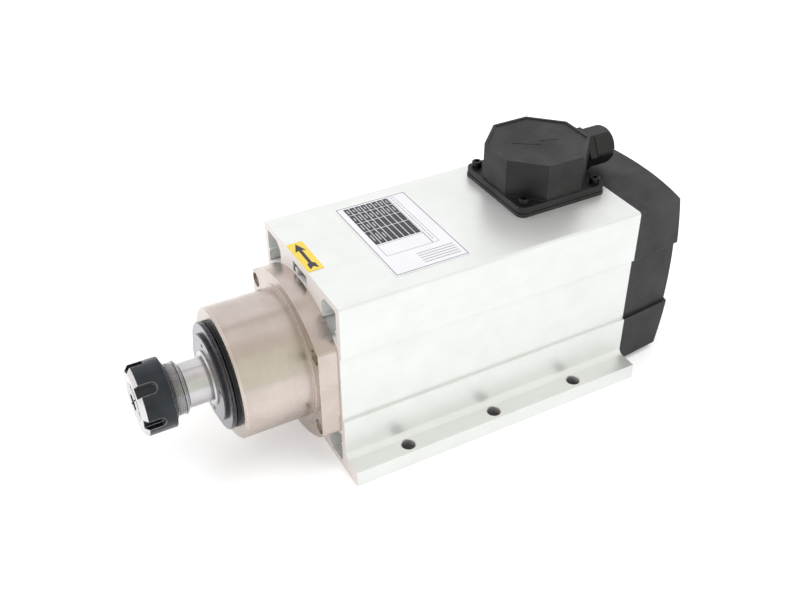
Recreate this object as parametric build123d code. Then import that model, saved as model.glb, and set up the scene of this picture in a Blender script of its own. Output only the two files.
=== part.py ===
from build123d import *
import math
import os

# Square air-cooled motor spindle with a collet nose. All sizes are in millimetres.
# The spindle axis runs along Y with the tool end at -Y, and +Z is up.
# Pieces are drawn with y = 0 at the front face of the body and z = 0 under the foot.
# They are then moved so that the origin is the centre of the base bolt pattern.

# Body: one aluminium extrusion with a foot, side recesses and air channels
body_width = 103.0
body_height = 120.0
body_length = 204.0
body_edge_radius = 1.5
axis_height = body_height / 2
body_bore_d = 88.0
foot_width = 133.0
foot_thickness = 11.0
foot_fillet = 4.0
recess_depth = 1.75
recess_low = 38.5
recess_high = 85.0
channel_side_wall = 4.5
channel_end_wall = 4.2
channel_bore_wall = 5.5
channel_inner = 28.5
channel_corner_cut = 4.5
channel_corner_radius = 1.5
channel_fin = 1.5
channel_fin_level = 42.0
channel_fin_head = 3.6
middle_channel_width = 18.8
middle_channel_wall = 5.0
screw_boss_r = 9.0
base_hole_d = 8.5
base_hole_chamfer = 0.6
base_hole_spacing = 119.0
base_hole_pitch = 61.0
base_hole_first = 38.0
lead_hole_d = 14.0

# Bearing housing with its square-sided flange
flange_thickness = 12.0
flange_half_width = 48.0
flange_half_flat = 30.0
flange_half_height = 48.5
flange_corner_radius = 3.0
housing_d = 80.0
housing_length = 42.0
housing_chamfer = 1.2
housing_recess_depth = 2.5
root_ring_width = 2.2
root_ring_height = 0.6
spigot_length = 8.0
spigot_wall = 7.0
spigot_clearance = 0.03
screw_across = 85.0
screw_up = 52.0

# Bearings: width, bore, outside and ball sizes
front_bearing_bore = 35.0
front_bearing_od = 62.0
front_bearing_width = 14.0
front_ball_d = 8.0
front_ball_count = 14
rear_bearing_bore = 25.0
rear_bearing_od = 52.0
rear_bearing_width = 15.0
rear_ball_d = 7.9
rear_ball_count = 9
ball_land_share = 0.28
cage_share = 1.3
race_clearance = 0.05
ball_seat_clearance = 0.02

# Front seal: fixed threaded cap, spinning dust disc and ring nut
cap_step = 1.4
cap_proud = 1.5
cap_clearance = 0.8
labyrinth_gap = 1.0
dust_disc_d = 65.2
dust_disc_thickness = 2.5
dust_disc_groove = 0.5
dust_hub_d = 43.0
ring_nut_d = 52.6
ring_nut_thickness = 2.2
ring_nut_edge = 0.6
spanner_hole_d = 2.6
spanner_circle_d = 41.0
spanner_hole_count = 4
spanner_hole_angle = 12.0
cap_hole_d = 5.2
collar_d = 33.0
collar_proud = 1.6
collar_radius = 0.8

# Shaft nose and collet nut
shank_d = 27.0
shank_undercut = 0.6
nose_thread_d = 32.0
thread_pitch = 1.5
thread_depth = 0.85
thread_crest_share = 0.44
nut_reach = 31.0
nut_d = 42.0
nut_length = 20.0
nut_neck_d = 34.6
nut_neck_length = 1.5
nut_face_chamfer = 2.2
nut_face_land = 2.6
nut_slot_count = 6
nut_slot_width = 6.6
nut_slot_length = 12.0
nut_slot_floor_d = 35.0
nut_slot_angle = 52.5
nut_visible_thread = 8.5
thread_clearance = 0.08

# Collet: 16 degree included taper, front cone, extractor groove and slits
collet_d = 26.0
collet_length = 34.0
collet_bore_d = 10.0
collet_proud = 0.4
collet_taper = 8.0
collet_cone = 30.0
collet_cone_length = 3.2
collet_rim_length = 0.6
collet_groove_length = 2.4
collet_groove_d = 22.0
collet_slit = 0.8
collet_slit_count = 8
collet_slit_bridge = 5.0
taper_clearance = 0.04
cone_clearance = 0.06
ring_clearance = 0.2
socket_lead = 1.3
socket_bore_d = 16.0
socket_bore_length = 26.0

# Shaft, rotor and stator
shoulder_d = 42.0
shoulder_length = 52.0
core_seat_d = 38.0
rear_shoulder_d = 31.0
rear_shoulder_length = 22.0
fan_seat_d = 20.0
shaft_tail = 2.5
stator_start = 62.0
stator_length = 90.0
stator_bore_d = 50.6
air_gap = 0.3
stator_slot_count = 24
stator_slot_width = 4.0
stator_tooth_tip = 1.6
stator_slot_depth = 12.0
winding_clearance = 0.2
winding_overhang = 18.0
winding_wall = 2.0
end_ring_length = 7.0
end_ring_wall = 5.0
end_ring_step = 1.0

# Rear bearing shield and its preload spring
shield_thickness = 8.0
shield_inset = 2.0
shield_lip = 2.0
shield_lip_d = 40.0
shield_hub_wall = 6.0
wave_spring_thickness = 0.6
wave_spring_height = 1.5
wave_spring_width = 3.0
wave_spring_count = 4
wave_pad_d = 1.8

# Cooling fan
fan_gap = 3.0
fan_d = 76.0
fan_hub_d = 34.0
fan_length = 18.0
fan_disc_thickness = 2.0
fan_blade_thickness = 2.0
fan_blade_count = 7
fan_blade_root = 1.0
circlip_thickness = 1.2
circlip_depth = 0.8
circlip_width = 2.4

# Rear fan cover
cover_reach = 45.5
cover_dome_across_r = 190.0
cover_dome_up_r = 290.0
cover_dome_height = 62.0
cover_draft = 5.2
cover_draft_top = 1.4
cover_wall = 3.2
cover_bottom = 4.0
cover_post_r = 5.2
cover_post_gap = 0.5
cover_screw_across = 38.0
cover_screw_inset = 9.5
cover_seat_depth = 12.0
grille_r = 40.0
grille_slot = 3.2
grille_pitch = 6.4
grille_rib = 3.0
grille_rib_spacing = 26.0

# Screws: shank, head, head height, hexagon and length
flange_screw_d = 5.0
flange_screw_head_d = 8.5
flange_screw_head_height = 5.0
flange_screw_hex = 4.0
flange_screw_grip = 12.0
flange_counterbore_d = 9.2
flange_counterbore_depth = 6.5
small_screw_d = 4.0
small_screw_head_d = 7.0
small_screw_head_height = 4.0
small_screw_hex = 3.0
small_screw_grip = 9.0
screw_play = 0.25
screw_head_edge = 0.4
socket_depth_share = 0.55

# Connection box on the top face
box_x = -10.0
box_y = 167.5
base_plate_reveal = 0.25
base_plate_thickness = 2.0
gasket_inset = 0.2
gasket_thickness = 1.0
box_width = 64.0
box_corner_radius = 5.0
box_flange_thickness = 3.5
box_height = 30.5
octagon_inset = 1.0
octagon_flat_margin = 0.4
box_wall = 2.5
box_panel_depth = 0.7
box_panel_rim = 1.6
box_mark_width = 1.0
box_mark_depth = 0.5
long_mark_length = 18.2
long_mark_back = -7.9
long_mark_turn = 55.0
short_mark_length = 11.5
short_mark_x = 2.3
short_mark_back = 7.2
short_mark_turn = 71.0
box_screw_head_d = 6.4
box_screw_head_height = 4.0
box_screw_inset = 5.5

# Cable gland on the back of the box
gland_lift = 0.25
gland_boss_d = 24.0
gland_boss_proud = 2.0
gland_thread_d = 18.6
gland_hex = 24.0
gland_hex_thickness = 5.0
gland_tail = 7.5
gland_neck = 10.0
gland_neck_d = 21.0
gland_bore_d = 12.0
locknut_hex = 21.6
locknut_thickness = 4.0
locknut_turn = 30.0
gland_nut_gap = 1.2
gland_nut_d = 24.8
gland_nut_hex = 22.4
gland_nut_length = 15.1
gland_nut_round = 4.0
gland_nut_mouth_d = 14.0
gland_nut_lip = 4.0
seal_d = 16.2
seal_bore_d = 10.0
seal_length = 10.0
seal_clearance = 0.1

# Terminal block, leads and earth screw in the box
block_width = 34.0
block_depth = 14.0
block_height = 12.0
block_gap = 4.0
terminal_count = 3
terminal_spacing = 9.0
terminal_d = 4.0
terminal_height = 3.0
terminal_proud = 1.0
terminal_slot_width = 0.8
terminal_slot_depth = 0.7
terminal_wall_gap = 1.0
lead_d = 2.6
lead_spacing = 4.0
lead_x = -19.0
lead_y = 161.0
lead_height = 6.0
lead_bend = 3.0
earth_screw_x = 2.0
earth_screw_y = 148.0

# Plates on the top face
name_plate_width = 80.2
name_plate_depth = 48.7
name_plate_x = -0.9
name_plate_y = 65.65
name_plate_radius = 1.0
plate_thickness = 0.3
arrow_plate_length = 30.9
arrow_plate_depth = 9.9
arrow_plate_x = -3.85
arrow_plate_y = 5.45
arrow_length = 27.5
arrow_head_length = 7.1
arrow_head_width = 6.5
arrow_barb = 1.0
arrow_shaft_width = 2.0
arrow_tail_width = 5.0
arrow_tail_length = 6.5
arrow_tail_taper = 1.5
arrow_tail_notch = 2.4
ink_thickness = 0.1

# Stations along the axis, worked out from the sizes above
bore_r = body_bore_d / 2
spigot_r = bore_r - spigot_clearance
housing_r = housing_d / 2
housing_front = -(flange_thickness + housing_length)
bearing_front = housing_front + housing_recess_depth
bearing_back = bearing_front + 2 * front_bearing_width
cap_front = housing_front - cap_proud
cap_r = front_bearing_od / 2 + cap_step
disc_back = cap_front - labyrinth_gap
disc_front = disc_back - dust_disc_thickness
ring_nut_front = disc_front - ring_nut_thickness
collar_front = ring_nut_front - collar_proud
nut_back = housing_front - nut_reach
nut_front = nut_back - nut_length
collet_front = nut_front - collet_proud
thread_back = nut_back + nut_visible_thread
groove_start = collet_cone_length + collet_rim_length
taper_start = groove_start + collet_groove_length
shaft_front = collet_front + taper_start + socket_lead
stator_end = stator_start + stator_length
shoulder_end = bearing_back + shoulder_length
shield_back = body_length + shield_thickness
rear_bearing_front = shield_back - rear_bearing_width - wave_spring_height
fan_front = shield_back + fan_gap
fan_back = fan_front + fan_length
shaft_end = fan_back + circlip_thickness + shaft_tail
pattern_y = base_hole_first + base_hole_pitch
gasket_floor = body_height + base_plate_thickness
box_floor = gasket_floor + gasket_thickness
box_shoulder = box_floor + box_flange_thickness
box_top = body_height + box_height
base_plate_width = box_width + 2 * base_plate_reveal
gasket_width = box_width - 2 * gasket_inset
octagon_width = box_width - 2 * octagon_inset
box_screw_spacing = box_width - 2 * box_screw_inset
octagon_cut = (octagon_width - gland_boss_d) / 2 - octagon_flat_margin
box_back = box_y + octagon_width / 2
block_y = box_back - box_wall - locknut_thickness - block_gap - block_depth / 2
gland_seat = box_back + gland_boss_proud
gland_height = box_floor + gland_hex / 2 + gland_lift
gland_nut_back = gland_seat + gland_hex_thickness + gland_nut_gap
gland_nut_front = gland_nut_back + gland_nut_length
cover_back = body_length + cover_reach
level_up = body_height - axis_height - channel_end_wall
level_down = axis_height - channel_end_wall
cover_screw_levels = (cover_screw_inset, body_height - cover_screw_inset)
flange_screw_places = [(sx * screw_across / 2, axis_height + sz * screw_up / 2)
                       for sx in (-1, 1) for sz in (-1, 1)]
cover_screw_places = [(sx * cover_screw_across / 2, z) for sx in (-1, 1) for z in cover_screw_levels]
box_screw_places = [(box_x + sx * box_screw_spacing / 2, box_y + sy * box_screw_spacing / 2)
                    for sx in (-1, 1) for sy in (-1, 1)]


def along_y(section, start, length):
    """Stand a section drawn in X and Z at y = start and give it a length towards +Y."""
    return Pos(0, start, 0) * extrude(Plane.XZ * section, amount=-length)


def turned(points, height=axis_height, x=0.0):
    """Turn an outline of (place along Y, radius) points about an axis parallel to Y."""
    outline = make_face(Polyline(*[(radius, y) for y, radius in points], close=True))
    return Pos(x, 0, height) * revolve(outline, Axis.Y)


def tube(start, length, outer_d, inner_d, height=axis_height, x=0.0):
    """A plain ring about an axis parallel to Y."""
    end = start + length
    inner, outer = inner_d / 2, outer_d / 2
    return turned([(start, inner), (start, outer), (end, outer), (end, inner)], height, x)


def rod(start, length, diameter, height=axis_height, x=0.0):
    """A plain cylinder about an axis parallel to Y."""
    return along_y(Pos(x, height) * Circle(diameter / 2), start, length)


def upright(x, y, bottom, height, diameter):
    """A plain cylinder that stands on z = bottom."""
    return Pos(x, y, bottom) * Cylinder(diameter / 2, height, align=(Align.CENTER, Align.CENTER, Align.MIN))


def rounded_block(x, y, bottom, width, height, radius):
    """A square block with rounded upright corners."""
    return Pos(x, y, bottom) * extrude(RectangleRounded(width, width, radius), amount=height)


def socket_screw(shank_d, head_d, head_height, hexagon, length):
    """A hexagon socket screw along Z, with the underside of its head at z = 0."""
    head = Cylinder(head_d / 2, head_height, align=(Align.CENTER, Align.CENTER, Align.MIN))
    head = chamfer(head.edges().group_by(Axis.Z)[-1], screw_head_edge)
    depth = head_height * socket_depth_share
    key = extrude(RegularPolygon(hexagon / 2, 6, major_radius=False), amount=depth)
    shank = Cylinder(shank_d / 2, length, align=(Align.CENTER, Align.CENTER, Align.MAX))
    return head - Pos(0, 0, head_height - depth) * key + shank


def flange_screw():
    return socket_screw(flange_screw_d, flange_screw_head_d, flange_screw_head_height, flange_screw_hex,
                        flange_thickness - flange_counterbore_depth + flange_screw_grip)


def end_plate_outline(inset=0.0):
    """The outline of the flange and of the rear shield: flat sides and bowed top and bottom."""
    half_width = flange_half_width - inset
    half_flat = flange_half_flat - inset
    peak = flange_half_height - inset
    outline = make_face([
        Line((-half_width, -half_flat), (-half_width, half_flat)),
        ThreePointArc((-half_width, half_flat), (0, peak), (half_width, half_flat)),
        Line((half_width, half_flat), (half_width, -half_flat)),
        ThreePointArc((half_width, -half_flat), (0, -peak), (-half_width, -half_flat)),
    ])
    return Pos(0, axis_height) * fillet(outline.vertices(), flange_corner_radius)


def corner_channel(side, level):
    """One corner air channel; side is -1 or 1 across, level is -1 below the axis or 1 above it."""
    outer = body_width / 2 - channel_side_wall
    top = level_up if level > 0 else level_down
    low = screw_up / 2
    area = Pos((channel_inner + outer) / 2, (low + top) / 2) * Rectangle(outer - channel_inner, top - low)
    inner_corner = area.vertices().sort_by_distance((channel_inner, top, 0))[0]
    area = chamfer(inner_corner, channel_corner_cut)
    outer_corner = area.vertices().sort_by_distance((outer, top, 0))[0]
    area = fillet(outer_corner, channel_corner_radius)
    area -= Circle(bore_r + channel_bore_wall)
    area -= Pos(screw_across / 2, screw_up / 2) * Circle(screw_boss_r)
    for wall in (channel_inner, outer):
        area -= Pos(wall, channel_fin_level) * Rectangle(2 * channel_fin, channel_fin)
    if side < 0:
        area = mirror(area, Plane.YZ)
    if level < 0:
        area = mirror(area, Plane.XZ)
    return Pos(0, axis_height) * area


def middle_channel(level):
    """The flat air channel over or under the bore, with a small T-shaped cooling fin."""
    low = bore_r + middle_channel_wall
    top = level_up if level > 0 else level_down
    area = Pos(0, (low + top) / 2) * Rectangle(middle_channel_width, top - low)
    stem = (top - low) / 2
    fin_x = -middle_channel_width / 4
    area -= Pos(fin_x, low + stem / 2) * Rectangle(channel_fin, stem)
    area -= Pos(fin_x, low + stem) * Rectangle(channel_fin_head, channel_fin)
    if level < 0:
        area = mirror(area, Plane.XZ)
    return Pos(0, axis_height) * area


def body_section():
    wall = Rectangle(body_width, body_height, align=(Align.CENTER, Align.MIN))
    foot = Rectangle(foot_width, foot_thickness, align=(Align.CENTER, Align.MIN))
    section = wall + foot
    for side in (-1, 1):
        root = section.vertices().sort_by_distance((side * body_width / 2, foot_thickness, 0))[0]
        section = fillet(root, foot_fillet)
        top = section.vertices().sort_by_distance((side * body_width / 2, body_height, 0))[0]
        section = fillet(top, body_edge_radius)
    for side in (-1, 1):
        section -= Pos(side * body_width / 2, (recess_low + recess_high) / 2) * Rectangle(
            2 * recess_depth, recess_high - recess_low)
    section -= Pos(0, axis_height) * Circle(bore_r)
    for level in (-1, 1):
        section -= middle_channel(level)
        for side in (-1, 1):
            section -= corner_channel(side, level)
    return section


def motor_body():
    body = along_y(body_section(), 0, body_length)
    for side in (-1, 1):
        for row in range(3):
            x = side * base_hole_spacing / 2
            y = base_hole_first + row * base_hole_pitch
            body -= upright(x, y, 0, foot_thickness, base_hole_d)
            body -= Pos(x, y, foot_thickness) * Cone(
                base_hole_d / 2, base_hole_d / 2 + base_hole_chamfer, base_hole_chamfer,
                align=(Align.CENTER, Align.CENTER, Align.MAX))
    for x, z in flange_screw_places:
        body -= rod(0, flange_screw_grip, flange_screw_d, z, x)
        body -= rod(body_length - flange_screw_grip, flange_screw_grip, flange_screw_d, z, x)
    for x, z in cover_screw_places:
        body -= rod(body_length - small_screw_grip, small_screw_grip, small_screw_d, z, x)
    for x, y in box_screw_places:
        body -= upright(x, y, body_height - channel_end_wall, channel_end_wall, small_screw_d)
    body -= upright(lead_x, lead_y, axis_height, body_height - axis_height, lead_hole_d)
    body -= upright(earth_screw_x, earth_screw_y, body_height - channel_end_wall, channel_end_wall,
                    terminal_d)
    return body


def bearing_housing():
    inner_r = front_bearing_od / 2
    throat_r = inner_r - spigot_wall / 2
    housing = turned([
        (housing_front, cap_r), (housing_front, housing_r - housing_chamfer),
        (housing_front + housing_chamfer, housing_r), (-flange_thickness - root_ring_height, housing_r),
        (-flange_thickness - root_ring_height, housing_r + root_ring_width),
        (0, housing_r + root_ring_width), (0, spigot_r), (spigot_length, spigot_r),
        (spigot_length, spigot_r - spigot_wall), (0, throat_r), (bearing_back, throat_r),
        (bearing_back, inner_r), (bearing_front, inner_r), (bearing_front, cap_r)])
    plate = along_y(end_plate_outline() - Pos(0, axis_height) * Circle(housing_r), -flange_thickness,
                    flange_thickness)
    housing += plate
    for x, z in flange_screw_places:
        housing -= rod(-flange_thickness, flange_counterbore_depth, flange_counterbore_d, z, x)
        housing -= rod(-flange_thickness, flange_thickness, flange_screw_d + 2 * screw_play, z, x)
    return housing


def flange_screws():
    seat = flange_counterbore_depth - flange_thickness
    return [Pos(x, seat, z) * Rot(90, 0, 0) * flange_screw() for x, z in flange_screw_places]


def shield_screws():
    seat = shield_back - flange_counterbore_depth
    length = flange_screw_grip + shield_thickness - flange_counterbore_depth
    screw = socket_screw(flange_screw_d, flange_screw_head_d, flange_screw_head_height, flange_screw_hex,
                         length)
    return [Pos(x, seat, z) * Rot(-90, 0, 0) * screw for x, z in flange_screw_places]


def bearing(start, bore, outside, width, ball_d, count):
    """The inner ring, the outer ring and the caged balls of one ball bearing."""
    pitch_r = (bore + outside) / 4
    middle = start + width / 2
    land = ball_d * ball_land_share
    inner = tube(start, width, 2 * (pitch_r - land), bore)
    outer = tube(start, width, outside, 2 * (pitch_r + land))
    ring = Pos(0, middle, axis_height) * Rot(90, 0, 0)
    inner -= ring * Torus(pitch_r, ball_d / 2 + ball_seat_clearance)
    outer -= ring * Torus(pitch_r, ball_d / 2 + race_clearance)
    cage_width = ball_d * cage_share
    cage = tube(middle - cage_width / 2, cage_width, 2 * pitch_r + land, 2 * pitch_r - land)
    balls = []
    for index in range(count):
        spot = Pos(0, middle, axis_height) * Rot(0, 360 / count * index, 0) * Pos(0, 0, pitch_r)
        cage -= spot * Cylinder(ball_d / 2 + race_clearance, 4 * land)
        balls.append(spot * Sphere(ball_d / 2))
    return inner, outer, balls + [cage]


def front_cap():
    """A threaded ring that holds the front bearings and forms the fixed half of the labyrinth."""
    length = bearing_front - cap_front
    cap = tube(cap_front, length, 2 * cap_r, dust_hub_d + 2 * cap_clearance)
    hole_r = (2 * cap_r + dust_hub_d) / 4
    for index in range(spanner_hole_count):
        angle = 2 * math.pi * index / spanner_hole_count
        cap -= rod(cap_front, length / 2, cap_hole_d, axis_height + hole_r * math.sin(angle),
                   hole_r * math.cos(angle))
    return cap


def front_dust_disc():
    disc_r = dust_disc_d / 2
    bore = collar_d / 2
    middle = (disc_front + disc_back) / 2
    return turned([
        (disc_front, bore), (disc_front, disc_r - dust_disc_groove),
        (disc_front + dust_disc_groove, disc_r), (middle - dust_disc_groove, disc_r),
        (middle, disc_r - dust_disc_groove), (middle + dust_disc_groove, disc_r), (disc_back, disc_r),
        (disc_back, dust_hub_d / 2),
        (bearing_front, dust_hub_d / 2), (bearing_front, bore)])


def front_ring_nut():
    outer = ring_nut_d / 2
    nut = turned([
        (ring_nut_front, collar_d / 2), (ring_nut_front, outer - ring_nut_edge),
        (ring_nut_front + ring_nut_edge, outer), (disc_front, outer), (disc_front, collar_d / 2)])
    for index in range(spanner_hole_count):
        angle = math.radians(spanner_hole_angle) + 2 * math.pi * index / spanner_hole_count
        nut -= rod(ring_nut_front, ring_nut_thickness, spanner_hole_d,
                   axis_height + spanner_circle_d / 2 * math.sin(angle),
                   spanner_circle_d / 2 * math.cos(angle))
    return nut


def taper_radius(distance):
    """Radius of the collet's long taper at a distance behind its front face."""
    return collet_d / 2 - (distance - taper_start) * math.tan(math.radians(collet_taper))


def nose_thread_outline():
    """Points down the nose thread, drawn as rings of the thread's own pitch and depth."""
    crest = nose_thread_d / 2
    points = []
    count = int((thread_back - shaft_front - thread_pitch) / thread_pitch)
    for turn in range(count):
        start = shaft_front + thread_pitch * (turn + 1)
        points += [(start, crest), (start + thread_crest_share * thread_pitch, crest - thread_depth),
                   (start + (1 - thread_crest_share) * thread_pitch, crest - thread_depth)]
    return points


def shaft():
    crest = nose_thread_d / 2
    shank = shank_d / 2
    collar = collar_d / 2
    front_seat = front_bearing_bore / 2
    rear_seat = rear_bearing_bore / 2
    tail = fan_seat_d / 2
    undercut = collar_front - 2 * shank_undercut
    groove = fan_back + circlip_thickness
    points = [(shaft_front, 0), (shaft_front, crest - thread_depth),
              (shaft_front + thread_depth, crest)]
    points += nose_thread_outline()
    points += [
        (thread_back - crest + shank, crest), (thread_back, shank), (undercut, shank),
        (undercut, shank - shank_undercut), (collar_front, shank - shank_undercut),
        (collar_front, collar - collar_radius), (collar_front + collar_radius, collar),
        (bearing_front, collar), (bearing_front, front_seat), (bearing_back, front_seat),
        (bearing_back, shoulder_d / 2), (shoulder_end, shoulder_d / 2), (shoulder_end, core_seat_d / 2),
        (rear_bearing_front - rear_shoulder_length, core_seat_d / 2),
        (rear_bearing_front - rear_shoulder_length, rear_shoulder_d / 2),
        (rear_bearing_front, rear_shoulder_d / 2), (rear_bearing_front, rear_seat),
        (shield_back, rear_seat), (shield_back, tail), (fan_back, tail),
        (fan_back, tail - circlip_depth), (groove, tail - circlip_depth), (groove, tail),
        (shaft_end, tail), (shaft_end, 0)]
    reach = collet_front + collet_length + socket_lead
    socket = turned([
        (shaft_front, 0), (shaft_front, taper_radius(shaft_front - collet_front) + taper_clearance),
        (reach, taper_radius(reach - collet_front) + taper_clearance), (reach, socket_bore_d / 2),
        (reach + socket_bore_length, socket_bore_d / 2),
        (reach + socket_bore_length + socket_bore_d / 4, 0)])
    return turned(points) - socket


def collet():
    edge = collet_d / 2
    front_r = edge - collet_cone_length * math.tan(math.radians(collet_cone))
    back = collet_front + collet_length
    groove = collet_groove_d / 2
    bore = collet_bore_d / 2
    blank = turned([
        (collet_front, bore), (collet_front, front_r), (collet_front + collet_cone_length, edge),
        (collet_front + groove_start, edge), (collet_front + groove_start, groove),
        (collet_front + taper_start, groove), (collet_front + taper_start, edge),
        (back, taper_radius(collet_length)), (back, bore)])
    reach = collet_length - collet_slit_bridge
    for index in range(collet_slit_count):
        for start, turn in ((collet_front, index), (back - reach, index + 0.5)):
            slit = Pos(0, start, 0) * Box(
                collet_slit, reach, collet_d, align=(Align.CENTER, Align.MIN, Align.MIN))
            blank -= Pos(0, 0, axis_height) * Rot(0, 360 / collet_slit_count * turn, 0) * slit
    return blank


def nut_ring_station():
    """Front and back of the extractor ring, as distances behind the front of the collet."""
    return groove_start + ring_clearance, taper_start - ring_clearance


def collet_nut():
    outer = nut_d / 2
    cone = math.tan(math.radians(collet_cone))
    ring_front, ring_back = nut_ring_station()
    cone_back = collet_d / 2 + cone_clearance
    cone_front = cone_back - (collet_cone_length - collet_proud) * cone
    ring_outer = nose_thread_d / 2 - thread_depth
    bore = nose_thread_d / 2 + thread_clearance
    relief = shaft_front - socket_lead / 2
    nut = turned([
        (nut_front, cone_front), (nut_front, outer - nut_face_land), (nut_front + nut_face_chamfer, outer),
        (nut_back - nut_neck_length, outer), (nut_back - nut_neck_length, nut_neck_d / 2),
        (nut_back, nut_neck_d / 2), (nut_back, bore), (relief, bore), (relief, ring_outer),
        (collet_front + ring_front, ring_outer), (collet_front + ring_front, cone_back),
        (collet_front + collet_cone_length, cone_back)])
    for index in range(nut_slot_count):
        turn = nut_slot_angle + 360 / nut_slot_count * index
        straight = nut_slot_length - nut_slot_width / 2
        slot = Pos(0, nut_front, 0) * Box(nut_slot_width, straight, outer,
                                          align=(Align.CENTER, Align.MIN, Align.MIN))
        slot += Pos(0, nut_front + straight, 0) * Cylinder(
            nut_slot_width / 2, outer, align=(Align.CENTER, Align.CENTER, Align.MIN))
        nut -= Pos(0, 0, axis_height) * Rot(0, 90 - turn, 0) * Pos(0, 0, nut_slot_floor_d / 2) * slot
    return nut


def extractor_ring():
    ring_front, ring_back = nut_ring_station()
    ring_outer = nose_thread_d / 2 - thread_depth
    inner = collet_groove_d / 2 + ring_clearance
    return tube(collet_front + ring_front, ring_back - ring_front, 2 * ring_outer, 2 * inner)


def stator_slots(clearance):
    """The slot areas of the stator, drawn a clearance smaller on every side."""
    inner = stator_bore_d / 2 + stator_tooth_tip + clearance
    depth = stator_slot_depth - 2 * clearance
    slot = Pos(0, inner + depth / 2) * Rectangle(stator_slot_width - 2 * clearance, depth)
    slots = Sketch()
    for index in range(stator_slot_count):
        slots += Rot(0, 0, 360 / stator_slot_count * index) * slot
    return Pos(0, axis_height) * slots


def stator_core():
    ring = Pos(0, axis_height) * (Circle(bore_r) - Circle(stator_bore_d / 2))
    return along_y(ring - stator_slots(0), stator_start, stator_length)


def stator_winding():
    """Copper in the slots, joined by the rounded coil heads at both ends of the core."""
    bars = along_y(stator_slots(winding_clearance), stator_start, stator_length)
    inner = stator_bore_d / 2 + stator_tooth_tip + winding_clearance
    outer = bore_r - winding_wall
    winding = bars
    for start in (stator_start - winding_overhang, stator_end):
        head = tube(start, winding_overhang, 2 * outer, 2 * inner)
        winding += fillet(head.edges(), winding_wall)
    return winding


def rotor_core():
    rotor_d = stator_bore_d - 2 * air_gap
    return tube(stator_start, stator_length, rotor_d, core_seat_d)


def rotor_end_rings():
    outer = stator_bore_d - 2 * air_gap - 2 * end_ring_step
    inner = outer - 2 * end_ring_wall
    starts = (stator_start - end_ring_length, stator_end)
    return [tube(start, end_ring_length, outer, inner) for start in starts]


def rear_shield():
    """The plate that carries the rear bearing, with a spigot in the bore of the body."""
    seat_r = rear_bearing_od / 2
    front = rear_bearing_front - wave_spring_height
    hub_r = seat_r + shield_hub_wall
    hub = turned([
        (front - shield_lip, shield_lip_d / 2), (front - shield_lip, hub_r),
        (body_length - spigot_length, hub_r), (body_length - spigot_length, spigot_r),
        (shield_back, spigot_r), (shield_back, seat_r), (front, seat_r), (front, shield_lip_d / 2)])
    plate = along_y(end_plate_outline(shield_inset) - Pos(0, axis_height) * Circle(hub_r), body_length,
                    shield_thickness)
    shield = hub + plate
    for x, z in flange_screw_places:
        shield -= rod(shield_back - flange_counterbore_depth, flange_counterbore_depth, flange_counterbore_d,
                      z, x)
        shield -= rod(body_length, shield_thickness, flange_screw_d + 2 * screw_play, z, x)
    for x, z in cover_screw_places:
        shield -= rod(body_length, shield_thickness, 2 * (cover_post_r + cover_post_gap), z, x)
    return shield


def wave_spring():
    """A thin ring with raised pads, squeezed between the shield's lip and the outer ring."""
    outer = rear_bearing_od - 2 * ring_clearance
    inner = outer - 2 * wave_spring_width
    start = rear_bearing_front - wave_spring_height
    middle = start + (wave_spring_height - wave_spring_thickness) / 2
    spring = tube(middle, wave_spring_thickness, outer, inner)
    pad_r = (outer + inner) / 4
    for index in range(2 * wave_spring_count):
        angle = math.pi * index / wave_spring_count
        place = (start, middle) if index % 2 else (middle, rear_bearing_front)
        spring += rod(place[0], place[1] - place[0], wave_pad_d,
                      axis_height + pad_r * math.sin(angle), pad_r * math.cos(angle))
    return spring


def cooling_fan():
    """A radial fan with straight blades on a disc."""
    fan = tube(fan_front, fan_length, fan_hub_d, fan_seat_d)
    fan += tube(fan_front, fan_disc_thickness, fan_d, fan_seat_d)
    reach = (fan_d - fan_hub_d) / 2 + fan_blade_root
    for index in range(fan_blade_count):
        blade = Pos(0, fan_front, fan_hub_d / 2 - fan_blade_root) * Box(
            fan_blade_thickness, fan_length - fan_disc_thickness, reach,
            align=(Align.CENTER, Align.MIN, Align.MIN))
        fan += Pos(0, 0, axis_height) * Rot(0, 360 / fan_blade_count * index, 0) * blade
    return fan


def fan_circlip():
    seat = fan_seat_d - 2 * circlip_depth
    clip = tube(fan_back, circlip_thickness, seat + 2 * circlip_width, seat)
    return clip - Pos(0, fan_back + circlip_thickness / 2, axis_height) * Box(
        circlip_width, circlip_thickness, seat + 4 * circlip_width,
        align=(Align.CENTER, Align.CENTER, Align.MIN))


def cover_shell(inset):
    """The drafted and domed outside of the fan cover, or its inside at an inset."""
    reach = cover_reach + cover_wall
    half = body_width / 2 - inset
    in_x = reach * math.tan(math.radians(cover_draft))
    plan = make_face(Polyline((-half, 0), (half, 0), (half - in_x, reach), (in_x - half, reach), close=True))
    block = Pos(0, body_length, 0) * extrude(plan, amount=body_height)
    low = cover_bottom + inset
    top = body_height - inset
    in_z = reach * math.tan(math.radians(cover_draft_top))
    side = make_face(Polyline((0, low), (0, top), (reach, top - in_z), (reach, low + in_z), close=True))
    block &= Pos(0, body_length, 0) * extrude(Plane.YZ * side, amount=body_width / 2, both=True)
    return block & cover_dome(inset)


def cover_dome(inset):
    """A barrel that gives the rear face one radius across and a larger one up and down."""
    across = cover_dome_across_r - inset
    up = cover_dome_up_r - inset
    half = body_width
    low = up - across + math.sqrt(across ** 2 - half ** 2)
    outline = make_face([Line((half, 0), (-half, 0)), Line((-half, 0), (-half, low)),
                         ThreePointArc((-half, low), (0, up), (half, low)), Line((half, low), (half, 0))])
    return Pos(0, cover_back - cover_dome_up_r, cover_dome_height) * revolve(outline, Axis.X)


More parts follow.
